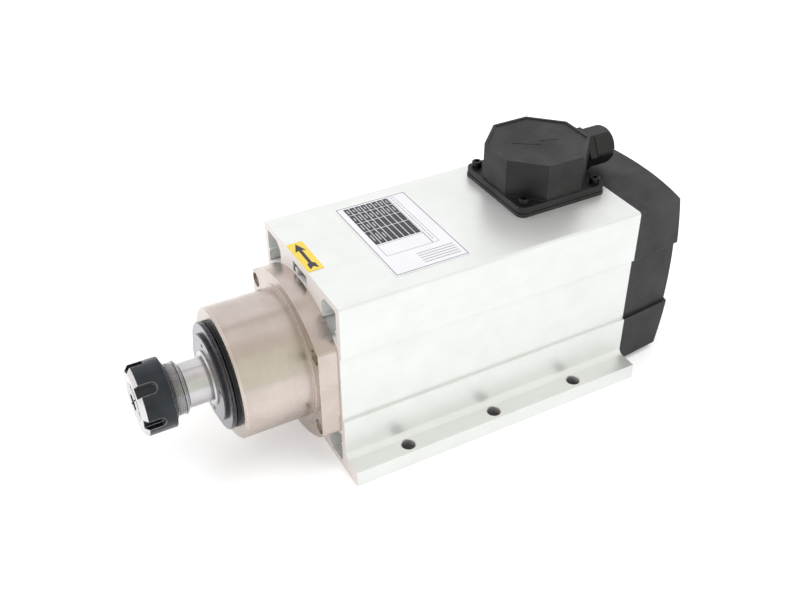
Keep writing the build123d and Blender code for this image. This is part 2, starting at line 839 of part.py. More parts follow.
def fan_cover():
    outside = cover_shell(0)
    hollow = cover_shell(cover_wall)
    for x, z in cover_screw_places:
        hollow -= rod(body_length, cover_reach, 2 * cover_post_r, z, x)
    cover = outside - hollow
    seat = body_length + cover_seat_depth
    for x, z in cover_screw_places:
        cover -= rod(body_length, cover_reach, small_screw_d + 2 * screw_play, z, x)
        cover -= rod(seat, cover_reach, small_screw_head_d + 4 * screw_play, z, x)
    band = Pos(0, cover_back, (recess_low + recess_high) / 2) * Box(
        body_width, 2 * cover_reach, recess_high - recess_low)
    cover -= band & (outside - cover_shell(recess_depth))
    return cover - grille()


def grille():
    """Rows of slots inside a circle at the back of the cover, crossed by two upright ribs."""
    rows = int(grille_r / grille_pitch)
    openings = Sketch()
    for row in range(-rows, rows + 1):
        level = row * grille_pitch
        half = math.sqrt(grille_r ** 2 - level ** 2)
        rib_in = (grille_rib_spacing - grille_rib) / 2
        rib_out = (grille_rib_spacing + grille_rib) / 2
        for low, high in ((-half, -rib_out), (-rib_in, rib_in), (rib_out, half)):
            low = max(low, -half)
            high = min(high, half)
            if high - low > 1.5 * grille_slot:
                openings += Pos((low + high) / 2, axis_height + level) * SlotOverall(
                    high - low, grille_slot)
    return along_y(openings, cover_back - cover_reach / 3, cover_reach)


def cover_screws():
    length = cover_seat_depth + small_screw_grip
    screw = socket_screw(small_screw_d, small_screw_head_d, small_screw_head_height, small_screw_hex, length)
    seat = body_length + cover_seat_depth
    return [Pos(x, seat, z) * Rot(-90, 0, 0) * screw for x, z in cover_screw_places]


def box_frame(width, bottom, thickness):
    """A flat square frame under the box, open inside and drilled for the four screws."""
    frame = rounded_block(box_x, box_y, bottom, width, thickness, box_corner_radius)
    frame -= Pos(box_x, box_y, bottom) * extrude(octagon(box_wall), amount=thickness)
    for x, y in box_screw_places:
        frame -= upright(x, y, bottom, thickness, small_screw_d + 2 * screw_play)
    return frame


def octagon(inset):
    """The eight-sided outline of the box, drawn about its own centre."""
    half = octagon_width / 2 - inset
    cut = octagon_cut - inset * (2 - math.sqrt(2))
    return chamfer(Rectangle(2 * half, 2 * half).vertices(), cut)


def box_cover():
    cover = rounded_block(box_x, box_y, box_floor, box_width, box_flange_thickness, box_corner_radius)
    centre = Pos(box_x, box_y, box_floor)
    cover += centre * extrude(octagon(0), amount=box_top - box_floor)
    cover += rod(box_y, gland_seat - box_y, gland_boss_d, gland_height, box_x)
    cover -= centre * extrude(octagon(box_wall), amount=box_top - box_wall - box_floor)
    cover -= Pos(box_x, box_y, box_top - box_panel_depth) * extrude(
        octagon(box_panel_rim), amount=box_panel_depth)
    cover -= rod(box_y, gland_seat - box_y, gland_thread_d, gland_height, box_x)
    for x, y in box_screw_places:
        cover -= upright(x, y, box_floor, box_flange_thickness, small_screw_d + 2 * screw_play)
    return cover - box_mark()


def box_mark():
    """Two plain grooves in the top panel of the box."""
    depth = box_panel_depth + box_mark_depth
    marks = Pos(box_x, box_y + long_mark_back) * Rot(0, 0, long_mark_turn) * SlotOverall(
        long_mark_length, box_mark_width)
    marks += Pos(box_x + short_mark_x, box_y + short_mark_back) * Rot(0, 0, short_mark_turn) * SlotOverall(
        short_mark_length, box_mark_width)
    return Pos(0, 0, box_top - depth) * extrude(marks, amount=depth)


def box_screws():
    length = box_shoulder - body_height + channel_end_wall
    screw = socket_screw(small_screw_d, box_screw_head_d, box_screw_head_height, small_screw_hex, length)
    return [Pos(x, y, box_shoulder) * screw for x, y in box_screw_places]


def hexagon_on_y(across_flats, start, length, turn=0.0):
    outline = Rot(0, 0, turn) * RegularPolygon(across_flats / 2, 6, major_radius=False)
    return along_y(Pos(box_x, gland_height) * outline, start, length)


def gland_body():
    tail = rod(gland_seat - gland_tail, gland_tail, gland_thread_d, gland_height, box_x)
    flange = hexagon_on_y(gland_hex, gland_seat, gland_hex_thickness)
    neck = rod(gland_seat + gland_hex_thickness, gland_neck, gland_neck_d, gland_height, box_x)
    body = tail + flange + neck
    body -= rod(gland_seat - gland_tail, gland_tail + gland_hex_thickness, gland_bore_d, gland_height, box_x)
    seat_d = seal_d + 2 * seal_clearance
    return body - rod(gland_seat + gland_hex_thickness, gland_neck, seat_d, gland_height, box_x)


def gland_locknut():
    start = box_back - box_wall - locknut_thickness
    return hexagon_on_y(locknut_hex, start, locknut_thickness, locknut_turn) - rod(
        start, locknut_thickness, gland_thread_d, gland_height, box_x)


def gland_seal():
    start = gland_nut_front - gland_nut_lip - race_clearance - seal_length
    return tube(start, seal_length, seal_d, seal_bore_d, gland_height, box_x)


def gland_nut():
    """The dome nut: a hexagon with a rounded outside, threaded inside and open at the back."""
    start = gland_nut_back
    blank = rod(start, gland_nut_length, gland_nut_d, gland_height, box_x)
    blank = fillet(blank.edges().group_by(Axis.Y)[-1], gland_nut_round)
    blank &= hexagon_on_y(gland_nut_hex, start, gland_nut_length)
    bore_length = gland_nut_length - gland_nut_lip
    blank -= rod(start, bore_length, gland_neck_d + 2 * race_clearance, gland_height, box_x)
    return blank - rod(start, gland_nut_length, gland_nut_mouth_d, gland_height, box_x)


def terminal_block():
    block = Pos(box_x, block_y, body_height) * Box(
        block_width, block_depth, block_height, align=(Align.CENTER, Align.CENTER, Align.MIN))
    block_top = body_height + block_height
    for x in spread(terminal_count):
        block -= upright(x, block_y, block_top - terminal_height, terminal_height, terminal_d)
        entry = block_depth / 2 - terminal_d / 2
        block -= Pos(x, block_y - block_depth / 2, body_height + lead_height) * Rot(-90, 0, 0) * Cylinder(
            lead_d / 2, entry, align=(Align.CENTER, Align.CENTER, Align.MIN))
    for x in spread(terminal_count + 1):
        block -= Pos(x, block_y, block_top) * Box(terminal_wall_gap, block_depth, terminal_height)
    return block


def spread(count):
    """Places across the terminal block, one terminal spacing apart and even about its middle."""
    return [box_x + (step - (count - 1) / 2) * terminal_spacing for step in range(count)]


def terminal_screws():
    height = body_height + block_height - terminal_height
    screws = []
    for x in spread(terminal_count):
        screw = upright(x, block_y, height, terminal_height + terminal_proud, terminal_d)
        slot = Pos(x, block_y, height + terminal_height + terminal_proud) * Box(
            terminal_slot_width, terminal_d, 2 * terminal_slot_depth)
        screws.append(screw - slot)
    return screws


def motor_leads():
    """Three leads from the rear coil head, up through the body and into the terminal block."""
    leads = []
    end_z = body_height + lead_height
    turn_y = (lead_y + block_y - block_depth / 2) / 2
    for step, place in enumerate(spread(terminal_count)):
        x = lead_x + (step - (terminal_count - 1) / 2) * lead_spacing
        inner_edge = abs(x) - lead_d / 2
        foot = axis_height + math.sqrt((bore_r - winding_wall) ** 2 - inner_edge ** 2)
        path = FilletPolyline((x, lead_y, foot), (x, lead_y, end_z), (place, turn_y, end_z),
                              (place, block_y - terminal_d / 2, end_z), radius=lead_bend)
        leads.append(sweep(Plane((x, lead_y, foot)) * Circle(lead_d / 2), path=path))
    return leads


def earth_screw():
    return Pos(earth_screw_x, earth_screw_y, body_height) * socket_screw(
        terminal_d, small_screw_head_d, terminal_height, small_screw_hex, channel_end_wall)


def name_plate():
    outline = RectangleRounded(name_plate_width, name_plate_depth, name_plate_radius)
    return Pos(name_plate_x, name_plate_y, body_height) * extrude(outline, amount=plate_thickness)


def arrow_plate():
    outline = Rectangle(arrow_plate_length, arrow_plate_depth)
    return Pos(arrow_plate_x, arrow_plate_y, body_height) * extrude(outline, amount=plate_thickness)


def direction_arrow():
    """The arrow printed on the small plate; it shows the way that the spindle turns."""
    tip = -arrow_length / 2
    tail = arrow_length / 2
    neck = tip + arrow_head_length
    half = arrow_shaft_width / 2
    fletch = tail - arrow_tail_length
    upper = [(tip, 0), (neck + arrow_barb, arrow_head_width / 2), (neck, half), (fletch, half),
             (fletch + arrow_tail_taper, arrow_tail_width / 2), (tail, arrow_tail_width / 2),
             (tail - arrow_tail_notch, 0)]
    lower = [(x, -y) for x, y in reversed(upper[1:-1])]
    outline = make_face(Polyline(*upper, *lower, close=True))
    level = body_height + plate_thickness
    return Pos(arrow_plate_x, arrow_plate_y, level) * extrude(outline, amount=ink_thickness)


def make_parts():
    """Every piece under the name of its node; a list is a group of separate solids."""
    parts = {
        "motor_body": motor_body(),
        "bearing_housing": bearing_housing(),
        "flange_screws": flange_screws(),
        "front_bearing_cap": front_cap(),
        "front_dust_disc": front_dust_disc(),
        "front_ring_nut": front_ring_nut(),
        "spindle_shaft": shaft(),
        "collet": collet(),
        "collet_nut": collet_nut(),
        "extractor_ring": extractor_ring(),
        "stator_core": stator_core(),
        "stator_winding": stator_winding(),
        "rotor_core": rotor_core(),
        "rotor_end_rings": rotor_end_rings(),
        "rear_shield": rear_shield(),
        "shield_screws": shield_screws(),
        "wave_spring": wave_spring(),
        "cooling_fan": cooling_fan(),
        "fan_circlip": fan_circlip(),
        "fan_cover": fan_cover(),
        "cover_screws": cover_screws(),
        "box_base": box_frame(base_plate_width, body_height, base_plate_thickness),
        "box_gasket": box_frame(gasket_width, gasket_floor, gasket_thickness),
        "box_cover": box_cover(),
        "box_screws": box_screws(),
        "gland_body": gland_body(),
        "gland_locknut": gland_locknut(),
        "gland_seal": gland_seal(),
        "gland_nut": gland_nut(),
        "terminal_block": terminal_block(),
        "terminal_screws": terminal_screws(),
        "motor_leads": motor_leads(),
        "earth_screw": earth_screw(),
        "name_plate": name_plate(),
        "arrow_plate": arrow_plate(),
        "direction_arrow": direction_arrow(),
    }
    bearings = {
        "front_bearing_a": (bearing_front, front_bearing_bore, front_bearing_od, front_bearing_width,
                            front_ball_d, front_ball_count),
        "front_bearing_b": (bearing_front + front_bearing_width, front_bearing_bore, front_bearing_od,
                            front_bearing_width, front_ball_d, front_ball_count),
        "rear_bearing": (rear_bearing_front, rear_bearing_bore, rear_bearing_od, rear_bearing_width,
                         rear_ball_d, rear_ball_count),
    }
    for name, sizes in bearings.items():
        inner, outer, balls = bearing(*sizes)
        parts[name + "_inner"] = inner
        parts[name + "_outer"] = outer
        parts[name + "_balls"] = balls
    return parts


def main():
    os.makedirs("parts", exist_ok=True)
    place = Pos(0, -pattern_y, 0)
    for name, piece in make_parts().items():
        solids = piece if isinstance(piece, list) else [piece]
        moved = [solid for shape in solids for solid in (place * shape).solids()]
        export_step(moved[0] if len(moved) == 1 else Compound(moved), f"parts/{name}.step")


main()
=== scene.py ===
"""Looks of a square air-cooled motor spindle: finishes, printed plates, floor, light and camera.

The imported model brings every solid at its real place, in metres: the spindle axis runs along Y with the
tool end at -Y, +Z is up, and the origin is the centre of the base bolt pattern.
"""

import logging
import math
from dataclasses import dataclass, field
from enum import Enum
from typing import Any, Iterable, Optional

import bpy
from mathutils import Matrix, Vector


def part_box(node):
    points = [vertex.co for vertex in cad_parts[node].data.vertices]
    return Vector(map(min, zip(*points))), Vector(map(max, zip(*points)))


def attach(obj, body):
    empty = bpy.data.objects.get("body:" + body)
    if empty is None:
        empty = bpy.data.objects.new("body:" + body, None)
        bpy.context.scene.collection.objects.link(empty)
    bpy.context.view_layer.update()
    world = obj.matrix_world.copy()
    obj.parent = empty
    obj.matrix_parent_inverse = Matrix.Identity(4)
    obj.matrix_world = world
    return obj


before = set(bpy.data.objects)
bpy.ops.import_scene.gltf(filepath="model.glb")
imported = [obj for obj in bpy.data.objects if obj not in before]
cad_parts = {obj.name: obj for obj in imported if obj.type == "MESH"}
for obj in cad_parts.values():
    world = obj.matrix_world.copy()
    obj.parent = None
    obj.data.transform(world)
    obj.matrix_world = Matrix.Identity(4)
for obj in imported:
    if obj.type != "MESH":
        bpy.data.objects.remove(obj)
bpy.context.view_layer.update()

MM = 0.001
AXIS_HEIGHT = 60.0 * MM
LOG = logging.getLogger("spindle")

# Colour and gloss drift in patches about this wide, with this many finer octaves in them.
PATCH_MM = 18.0
PATCH_DETAIL = 3.0
# The finer octaves in the marks of a surface, and how strong they are.
MARK_DETAIL = 2.0
MARK_ROUGHNESS = 0.6
# Nearly all values of a noise pattern lie between these two.
NOISE_LOW, NOISE_HIGH = 0.3, 0.7
# A drawn mark is this many times as long as it is wide.
DRAWN_STRETCH = 120
# The marks' share in the colour, and the sums at which only the main colour or only the shade shows.
TINT_BY_MARKS = 0.55
TINT_LOW, TINT_HIGH = 0.5, 1.05
# A highlight is drawn out a quarter turn from the rings that the lathe left.
ACROSS_THE_MARKS = 0.25
# Cosine between the flat and the rounded normal where the edge wear and painted highlight start, and where
# they are full.
WEAR_AND_HIGHLIGHT_START, WEAR_AND_HIGHLIGHT_FULL = 0.995, 0.9
# How open a corner is where the painted shade is at its darkest, where 1 is an open face.
PAINTED_SHADE_FULL = 0.1
# Rays per sample that look for edges, and for hollows.
EDGE_SAMPLES = 4
HOLLOW_SAMPLES = 8

# One strip of print on the name plate: (u, v, width, depth), in millimetres.
Strip = tuple[float, float, float, float]


def linear(hex_color: str) -> tuple[float, float, float, float]:
    """Turns an sRGB hex colour into the linear values that a shader takes.

    Args:
        hex_color: a colour such as "#CFC4BD".

    Returns:
        Linear red, green and blue with an alpha of 1.
    """
    channels = [int(hex_color[i:i + 2], 16) / 255 for i in (1, 3, 5)]
    # The sRGB curve: a straight line near black and a power above it.
    line_end, line_slope, offset, power = 0.04045, 12.92, 0.055, 2.4
    red, green, blue = (c / line_slope if c <= line_end else ((c + offset) / (1 + offset)) ** power
                        for c in channels)
    return (red, green, blue, 1.0)


def port(sockets: Any, key: Any) -> bpy.types.NodeSocket:
    """Finds a socket that is in use, by its name or number.

    Args:
        sockets: a node's inputs or outputs.
        key: the socket's number, or its name, which several sockets of one node may share.

    Returns:
        The socket.
    """
    if isinstance(key, int):
        return sockets[key]
    return next(socket for socket in sockets if socket.name == key and socket.enabled)


def add_node(tree: bpy.types.NodeTree, kind: str, sockets: Optional[dict[Any, Any]] = None,
             **settings: Any) -> bpy.types.Node:
    """Adds one node, sets it up and links its inputs.

    Args:
        tree: the node tree of a material or a world.
        kind: the node's type, such as "ShaderNodeBump".
        sockets: values, nodes or output sockets, by the name or number of the input. A node stands for
            the first output that it has in use.
        **settings: the node's own properties.

    Returns:
        The new node.
    """
    node = tree.nodes.new(kind)
    for name, value in settings.items():
        setattr(node, name, value)
    for key, value in (sockets or {}).items():
        target = port(node.inputs, key)
        if isinstance(value, bpy.types.Node):
            value = next(socket for socket in value.outputs if socket.enabled)
        if isinstance(value, bpy.types.NodeSocket):
            tree.links.new(value, target)
        else:
            target.default_value = value
    return node


class Grain(Enum):
    """How the marks of a surface lie."""

    SPECKLE = "the same every way, as blasted or spark-eroded"
    DRAWN = "long lines along the spindle axis, as extruded or ground"
    TURNED = "rings about the spindle axis, as cut on a lathe"
    LAID = "sheets stacked along the spindle axis"


@dataclass(frozen=True)
class Finish:
    """One real surface: its colour, its gloss and the marks that its making left.

    Attributes:
        name: the finish in a maker's words.
        color: the main colour as sRGB hex.
        shade: the colour that it drifts to in patches, as sRGB hex.
        metallic: 1 for bare metal, 0 for plastic, rubber, paint and ink.
        roughness: the mean roughness.
        spread: how far the roughness drifts in patches.
        grain: how the marks lie.
        grain_mm: the width of one mark. Finer real marks are drawn at least 0.2 mm wide, so that they show.
        depth_mm: the height of the marks.
        edge_mm: how far an edge is rounded.
        edge_wear_and_highlight: the colour of an edge, partly worn and partly a painted highlight, as sRGB
            hex, or None.
        brushed: how far a highlight is drawn out across the marks, from 0 to 1.
        ior: the index of refraction of what isn't metal.
        painted_shade: the colour of the painted shade in corners and deep holes, as sRGB hex.
        painted_shade_share: how much of the painted shade shows in the deepest corner, from 0 to 1.
        painted_shade_mm: how wide a corner still takes painted shade.
        painted_shade_open: how open a corner may be and still take painted shade, where 1 is an open face.
    """

    name: str
    color: str
    shade: str
    metallic: float = 0.0
    roughness: float = 0.5
    spread: float = 0.06
    grain: Grain = Grain.SPECKLE
    grain_mm: float = 0.3
    depth_mm: float = 0.02
    edge_mm: float = 0.25
    edge_wear_and_highlight: Optional[str] = None
    brushed: float = 0.0
    ior: float = 1.5
    # Painted shade: the colour that darkens corners and deep holes, how strongly and how far it reaches.
    painted_shade: str = "#14130F"
    painted_shade_share: float = 0.6
    painted_shade_mm: float = 5.0
    painted_shade_open: float = 0.45

    def build(self) -> bpy.types.Material:
        """Makes the material.

        Returns:
            The material with its whole node tree.
        """
        material = bpy.data.materials.new(self.name)
        material.use_nodes = True
        tree = material.node_tree
        tree.nodes.clear()
        place = add_node(tree, "ShaderNodeTexCoord").outputs["Object"]
        marks = self.marks(tree, place)
        patches = add_node(tree, "ShaderNodeTexNoise", {
            "Vector": place, "Scale": 1 / (PATCH_MM * MM), "Detail": PATCH_DETAIL})
        color = self.tint(tree, marks, patches.outputs["Fac"])
        rough = add_node(tree, "ShaderNodeMapRange", {
            "Value": patches.outputs["Fac"], "From Min": NOISE_LOW, "From Max": NOISE_HIGH,
            "To Min": self.roughness - self.spread, "To Max": self.roughness + self.spread})
        rounded = add_node(tree, "ShaderNodeBevel", {"Radius": self.edge_mm * MM}, samples=EDGE_SAMPLES)
        bump = add_node(tree, "ShaderNodeBump", {
            "Strength": 1.0, "Distance": self.depth_mm * MM, "Height": marks,
            "Normal": rounded.outputs["Normal"]})
        # Painted highlight, with some wear: the colour is lightened along the edges.
        color = self.wear_and_highlight_edges(tree, color, rounded.outputs["Normal"])
        shader = add_node(tree, "ShaderNodeBsdfPrincipled", {
            "Base Color": color, "Metallic": self.metallic, "Roughness": rough.outputs["Result"],
            "Normal": bump.outputs["Normal"]})
        if self.metallic < 1:
            shader.inputs["IOR"].default_value = self.ior
        if self.brushed:
            shader.inputs["Anisotropic"].default_value = self.brushed
            shader.inputs["Anisotropic Rotation"].default_value = ACROSS_THE_MARKS
            tangent = add_node(tree, "ShaderNodeTangent", direction_type="RADIAL", axis="Y")
            tree.links.new(tangent.outputs["Tangent"], shader.inputs["Tangent"])
        self.dress(tree, shader, place)
        # Painted shade: the colour is darkened in corners and deep holes.
        self.paint_shade_in_hollows(tree, shader)
        add_node(tree, "ShaderNodeOutputMaterial", {"Surface": shader.outputs["BSDF"]})
        return material

    def marks(self, tree: bpy.types.NodeTree, place: bpy.types.NodeSocket) -> bpy.types.NodeSocket:
        """Draws the marks that the making left.

        Args:
            tree: the material's node tree.
            place: the point on the surface, in metres.

        Returns:
            The height of the marks, from 0 to 1.
        """
        per_m = 1 / (self.grain_mm * MM)
        if self.grain is Grain.SPECKLE:
            vector = place
            scale = per_m
        elif self.grain is Grain.DRAWN:
            vector = add_node(tree, "ShaderNodeMapping", {
                "Vector": place, "Scale": (per_m, per_m / DRAWN_STRETCH, per_m)}).outputs["Vector"]
            scale = 1.0
        else:
            split = add_node(tree, "ShaderNodeSeparateXYZ", {"Vector": place})
            up = add_node(tree, "ShaderNodeMath", {
                0: split.outputs["Z"], 1: AXIS_HEIGHT}, operation="SUBTRACT")
            flat = add_node(tree, "ShaderNodeCombineXYZ", {"X": split.outputs["X"], "Y": up.outputs[0]})
            radius = add_node(tree, "ShaderNodeVectorMath", {0: flat.outputs["Vector"]}, operation="LENGTH")
            across = radius.outputs["Value"] if self.grain is Grain.TURNED else 0.0
            vector = add_node(tree, "ShaderNodeCombineXYZ", {
                "X": across, "Y": split.outputs["Y"]}).outputs["Vector"]
            scale = per_m
        noise = add_node(tree, "ShaderNodeTexNoise", {
            "Vector": vector, "Scale": scale, "Detail": MARK_DETAIL, "Roughness": MARK_ROUGHNESS})
        return noise.outputs["Fac"]

    def tint(self, tree: bpy.types.NodeTree, marks: bpy.types.NodeSocket,
             patches: bpy.types.NodeSocket) -> bpy.types.NodeSocket:
        """Mixes the two colours by the patches and the marks.

        Args:
            tree: the material's node tree.
            marks: the height of the marks.
            patches: the broad drift.

        Returns:
            The colour.
        """
        blend = add_node(tree, "ShaderNodeMath", {
            0: marks, 1: TINT_BY_MARKS, 2: patches}, operation="MULTIPLY_ADD")
        share = add_node(tree, "ShaderNodeMapRange", {
            "Value": blend.outputs[0], "From Min": TINT_LOW, "From Max": TINT_HIGH, "To Min": 0.0,
            "To Max": 1.0})
        mix = add_node(tree, "ShaderNodeMix", {
            "Factor": share.outputs["Result"], "A": linear(self.color), "B": linear(self.shade)},
            data_type="RGBA")
        return port(mix.outputs, "Result")

    def wear_and_highlight_edges(self, tree: bpy.types.NodeTree, color: bpy.types.NodeSocket,
             rounded: bpy.types.NodeSocket) -> bpy.types.NodeSocket:
        """Lightens the edges, partly as wear and partly as a painted highlight.

        Args:
            tree: the material's node tree.
            color: the colour away from the edges.
            rounded: the normal with rounded edges.

        Returns:
            The colour with its edges lightened by wear and a painted highlight.
        """
        if self.edge_wear_and_highlight is None:
            return color
        flat = add_node(tree, "ShaderNodeNewGeometry").outputs["Normal"]
        close = add_node(tree, "ShaderNodeVectorMath", {0: flat, 1: rounded}, operation="DOT_PRODUCT")
        edge = add_node(tree, "ShaderNodeMapRange", {
            "Value": close.outputs["Value"], "From Min": WEAR_AND_HIGHLIGHT_START, "From Max": WEAR_AND_HIGHLIGHT_FULL, "To Min": 0.0,
            "To Max": 1.0})
        mix = add_node(tree, "ShaderNodeMix", {
            "Factor": edge.outputs["Result"], "A": color, "B": linear(self.edge_wear_and_highlight)}, data_type="RGBA")
        return port(mix.outputs, "Result")

    def paint_shade_in_hollows(self, tree: bpy.types.NodeTree, shader: bpy.types.Node) -> None:
        """Paints shade into the colour in corners and deep holes.

        Args:
            tree: the material's node tree.
            shader: the surface shader.
        """
        hollow = add_node(tree, "ShaderNodeAmbientOcclusion", {
            "Distance": self.painted_shade_mm * MM}, samples=HOLLOW_SAMPLES)
        share = add_node(tree, "ShaderNodeMapRange", {
            "Value": hollow.outputs["AO"], "From Min": self.painted_shade_open, "From Max": PAINTED_SHADE_FULL,
            "To Min": 0.0, "To Max": self.painted_shade_share})
        lay_over(tree, shader, share.outputs["Result"], {"Base Color": linear(self.painted_shade)})

    def dress(self, tree: bpy.types.NodeTree, shader: bpy.types.Node, place: bpy.types.NodeSocket) -> None:
        """Adds what only this finish has. The plain finish has nothing to add.

        Args:
            tree: the material's node tree.
            shader: the surface shader.
            place: the point on the surface, in metres.
        """


def end_faces(tree: bpy.types.NodeTree, least: float, ahead_only: bool) -> bpy.types.NodeSocket:
    """Finds the faces that look along the spindle axis.

    Args:
        tree: the material's node tree.
        least: how squarely a face has to look along the axis, from 0 to 1.
        ahead_only: take only the faces that look towards the tool end.

    Returns:
        1 on those faces and 0 elsewhere.
    """
    normal = add_node(tree, "ShaderNodeNewGeometry").outputs["Normal"]
    turn = add_node(tree, "ShaderNodeVectorTransform", {"Vector": normal}, vector_type="NORMAL",
                    convert_from="WORLD", convert_to="OBJECT")
    split = add_node(tree, "ShaderNodeSeparateXYZ", {"Vector": turn.outputs["Vector"]})
    if ahead_only:
        along = add_node(tree, "ShaderNodeMath", {0: split.outputs["Y"], 1: -1.0}, operation="MULTIPLY")
    else:
        along = add_node(tree, "ShaderNodeMath", {0: split.outputs["Y"]}, operation="ABSOLUTE")
    square = add_node(tree, "ShaderNodeMath", {0: along, 1: least}, operation="GREATER_THAN")
    return square.outputs[0]


def lay_over(tree: bpy.types.NodeTree, shader: bpy.types.Node, mask: bpy.types.NodeSocket,
             values: dict[str, Any]) -> None:
    """Lays other values over the shader's own where a mask is 1.

    Args:
        tree: the material's node tree.
        shader: the surface shader.
        mask: where the other values hold.
        values: a colour or a number for each input of the shader, by its name.
    """
    for name, value in values.items():
        plain = shader.inputs[name]
        before = plain.links[0].from_socket if plain.links else plain.default_value
        kind = "RGBA" if isinstance(value, tuple) else "FLOAT"
        mix = add_node(tree, "ShaderNodeMix", {"Factor": mask, "A": before, "B": value}, data_type=kind)
        tree.links.new(port(mix.outputs, "Result"), plain)


@dataclass(frozen=True)
class EndMachinedFinish(Finish):
    """A finish whose end faces were machined after the rest was made.

    Attributes:
        end_color: the colour of the machined faces as sRGB hex.
        end_roughness: their roughness.
        end_metallic: how much of them is bare metal.
        end_least: how squarely a face has to look along the axis to count.
        ahead_only: only the faces towards the tool end were machined.
    """

    end_color: str = "#D8D4D0"
    end_roughness: float = 0.3
    end_metallic: float = 1.0
    end_least: float = 0.8
    ahead_only: bool = False

    def dress(self, tree: bpy.types.NodeTree, shader: bpy.types.Node, place: bpy.types.NodeSocket) -> None:
        """Puts the machined look on the end faces.

        Args:
            tree: the material's node tree.
            shader: the surface shader.
            place: the point on the surface, which this finish has no use for.
        """
        lay_over(tree, shader, end_faces(tree, self.end_least, self.ahead_only), {
            "Base Color": linear(self.end_color), "Roughness": self.end_roughness,
            "Metallic": self.end_metallic})


@dataclass(frozen=True)
class ExtrudedFinish(EndMachinedFinish):
    """The finish of a hollow extrusion: blasted outside, plain inside and milled at its ends.

    Attributes:
        inside_color: the colour of the bore and the air channels as sRGB hex.
        inside_half_mm: half the width that holds them.
        inside_low_mm: the lowest level that holds them.
        inside_high_mm: the highest level that holds them.
        inside_roughness: the roughness in there.
        inside_metallic: how much of the walls in there is bare metal.
    """

    inside_color: str = "#F4F6F4"
    inside_half_mm: float = 48.0
    inside_low_mm: float = 3.0
    inside_high_mm: float = 117.0
    inside_roughness: float = 0.55
    inside_metallic: float = 0.1

    def dress(self, tree: bpy.types.NodeTree, shader: bpy.types.Node, place: bpy.types.NodeSocket) -> None:
        """Gives the inner walls their duller skin and then mills the ends.

        Args:
            tree: the material's node tree.
            shader: the surface shader.
            place: the point on the surface, in metres.
        """
        split = add_node(tree, "ShaderNodeSeparateXYZ", {"Vector": place})
        across = add_node(tree, "ShaderNodeMath", {0: split.outputs["X"]}, operation="ABSOLUTE")
        middle = (self.inside_low_mm + self.inside_high_mm) / 2 * MM
        above = add_node(tree, "ShaderNodeMath", {0: split.outputs["Z"], 1: middle}, operation="SUBTRACT")
        away = add_node(tree, "ShaderNodeMath", {0: above}, operation="ABSOLUTE")
        half = (self.inside_high_mm - self.inside_low_mm) / 2 * MM
        near = add_node(tree, "ShaderNodeMath", {
            0: across, 1: self.inside_half_mm * MM}, operation="LESS_THAN")
        level = add_node(tree, "ShaderNodeMath", {0: away, 1: half}, operation="LESS_THAN")
        inside = add_node(tree, "ShaderNodeMath", {0: near, 1: level}, operation="MULTIPLY")
        lay_over(tree, shader, inside.outputs[0], {
            "Base Color": linear(self.inside_color), "Roughness": self.inside_roughness,
            "Metallic": self.inside_metallic})
        super().dress(tree, shader, place)


# Clear-anodised extruded aluminium, glass-bead blasted: an even silky white-silver over faint lines from the
# die, and a paler, warmer white where the ends were milled to length. The lines are drawn 0.9 mm wide so that
# they show.
# Its edges get a painted highlight, and its corners, channels and deep holes a strong painted shade.
BLASTED_ALUMINIUM = ExtrudedFinish(
    "clear_anodised_aluminium", "#F4F6F4", "#EEF0EE", metallic=0.62, roughness=0.39, spread=0.03,
    grain=Grain.DRAWN, grain_mm=0.9, depth_mm=0.006, edge_mm=0.4, edge_wear_and_highlight="#FCFDFC", painted_shade_share=0.9,
    painted_shade_mm=12.0, end_color="#F9F1EE", end_roughness=0.45, end_metallic=0.12)
# Nickel-plated turned steel: a warm champagne silver with rings from the lathe, a painted highlight on its
# chamfered edges and a little painted shade in its corners.
TURNED_NICKEL = Finish(
    "turned_nickel_plated_steel", "#D5CAC3", "#C6BAB2", metallic=1.0, roughness=0.27, spread=0.03,
    grain=Grain.TURNED, grain_mm=0.35, depth_mm=0.003, edge_mm=0.3, edge_wear_and_highlight="#FFFAF6", brushed=0.45,
    painted_shade_share=0.3)
# Cylindrically ground alloy steel: bright, with a tight lengthwise stretch to its highlights, a painted
# highlight on the crests of its thread and painted shade in its roots.
GROUND_STEEL = Finish(
    "ground_alloy_steel", "#DEDDDF", "#C6C4C6", metallic=1.0, roughness=0.2, spread=0.04,
    grain=Grain.TURNED, grain_mm=0.2, depth_mm=0.004, edge_mm=0.2, edge_wear_and_highlight="#FFFFFF", brushed=0.6,
    painted_shade="#3B3632", painted_shade_share=1.0, painted_shade_mm=2.5, painted_shade_open=0.85)
# Fine-turned steel, case-hardened and polished to a dark mirror with rings. The rims are painted darker than
# the faces as a painted reflection, and the edges are lighter, partly worn and partly a painted highlight.
POLISHED_STEEL = EndMachinedFinish(
    "polished_tool_steel", "#47464B", "#39383D", metallic=1.0, roughness=0.2, spread=0.04,
    grain=Grain.TURNED, grain_mm=0.3, depth_mm=0.006, edge_mm=0.12, edge_wear_and_highlight="#C9C8CC", brushed=0.6,
    end_color="#96949B", end_roughness=0.2)
# Lapped bearing steel: almost a mirror.
BEARING_STEEL = Finish(
    "bearing_steel", "#C9CACC", "#B5B6B9", metallic=1.0, roughness=0.14, spread=0.03,
    grain=Grain.TURNED, grain_mm=0.2, depth_mm=0.003, edge_mm=0.3)
# Black-oxided steel: blue-black and satin, its edges lighter, partly worn and partly a painted highlight.
BLACK_OXIDE = Finish(
    "black_oxide_steel", "#2C2F33", "#232529", metallic=0.75, roughness=0.36, spread=0.05,
    grain=Grain.TURNED, grain_mm=0.3, depth_mm=0.006, edge_mm=0.2, edge_wear_and_highlight="#8C8D90")
